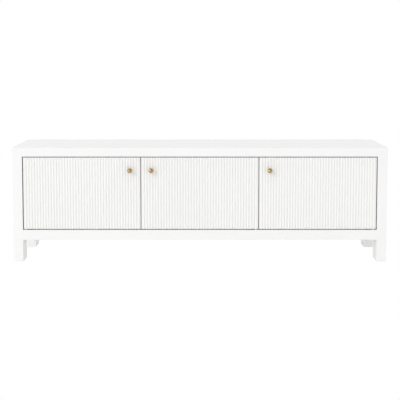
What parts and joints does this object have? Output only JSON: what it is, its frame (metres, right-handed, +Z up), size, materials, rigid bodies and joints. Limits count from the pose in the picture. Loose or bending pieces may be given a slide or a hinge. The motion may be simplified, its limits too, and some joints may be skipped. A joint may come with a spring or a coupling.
{
  "type": "tv stand with doors",
  "caption": "Long low media cabinet on block legs with inset vertically reeded doors, round knobs and shelves inside.",
  "frame": {"origin": "on the floor, in the middle of the overall length and of the overall depth from the knobs to the back", "axes": "+Z up, +X along the front to the right seen from the front, +Y towards the wall; the doors face -Y"},
  "size_m": [1.8, 0.4384, 0.556],
  "materials": {
    "white_lacquer": "satin white lacquer over wood, brushed smooth",
    "door_lacquer": "satin white lacquer over reeded board, slightly warmer",
    "interior_lacquer": "matt white lacquer",
    "back_board": "matt white painted thin board",
    "bare_wood": "bare planed hardwood",
    "aged_brass": "brushed aged brass",
    "plated_steel": "nickel-plated steel",
    "zinc_screws": "zinc-plated steel",
    "nylon": "natural nylon",
    "white_plastic": "moulded white plastic",
    "magnet": "dark sintered magnet",
    "glide_plastic": "hard plastic"
  },
  "bodies": {
    "carcass": {"back_panel_left": "back_board", "back_panel_middle": "back_board", "back_panel_right": "back_board", "back_panel_screws": "zinc_screws", "bearer_left": "bare_wood", "bearer_right": "bare_wood", "bottom_panel": "interior_lacquer", "catch_housings": "white_plastic", "catch_magnets": "magnet", "catch_screws": "zinc_screws", "divider_dowels": "bare_wood", "divider_left": "interior_lacquer", "divider_right": "interior_lacquer", "front_bottom_rail": "white_lacquer", "front_top_rail": "white_lacquer", "hinge_frame_leaves_left": "plated_steel", "hinge_frame_leaves_middle": "plated_steel", "hinge_frame_leaves_right": "plated_steel", "hinge_frame_screws": "zinc_screws", "hinge_washers": "nylon", "leg_front_left": "white_lacquer", "leg_front_right": "white_lacquer", "leg_glides": "glide_plastic", "leg_rear_left": "white_lacquer", "leg_rear_right": "white_lacquer", "rail_dowels": "bare_wood", "rear_bottom_rail": "interior_lacquer", "rear_top_rail": "interior_lacquer", "shelf_left": "interior_lacquer", "shelf_middle": "interior_lacquer", "shelf_pins": "plated_steel", "shelf_right": "interior_lacquer", "side_panel_left": "white_lacquer", "side_panel_right": "white_lacquer", "top_panel": "white_lacquer", "top_screws": "zinc_screws"},
    "left_door": {"door_left": "door_lacquer", "hinge_door_leaves_left": "plated_steel", "hinge_door_screws_left": "zinc_screws", "knob_left": "aged_brass", "knob_screw_left": "zinc_screws", "strike_plate_left": "plated_steel", "strike_screw_left": "zinc_screws"},
    "middle_door": {"door_middle": "door_lacquer", "hinge_door_leaves_middle": "plated_steel", "hinge_door_screws_middle": "zinc_screws", "knob_middle": "aged_brass", "knob_screw_middle": "zinc_screws", "strike_plate_middle": "plated_steel", "strike_screw_middle": "zinc_screws"},
    "right_door": {"door_right": "door_lacquer", "hinge_door_leaves_right": "plated_steel", "hinge_door_screws_right": "zinc_screws", "knob_right": "aged_brass", "knob_screw_right": "zinc_screws", "strike_plate_right": "plated_steel", "strike_screw_right": "zinc_screws"}
  },
  "joints": [
    {"name": "left_door_hinge", "type": "hinge", "parent": "carcass", "child": "left_door", "pos_m": [-0.8345, -0.17675, 0.162], "axis": [0, 0, -1], "range_deg": [0, 95]},
    {"name": "middle_door_hinge", "type": "hinge", "parent": "carcass", "child": "middle_door", "pos_m": [0.26817, -0.17675, 0.162], "axis": [0, 0, 1], "range_deg": [0, 95]},
    {"name": "right_door_hinge", "type": "hinge", "parent": "carcass", "child": "right_door", "pos_m": [0.8345, -0.17675, 0.162], "axis": [0, 0, 1], "range_deg": [0, 95]}
  ]
}
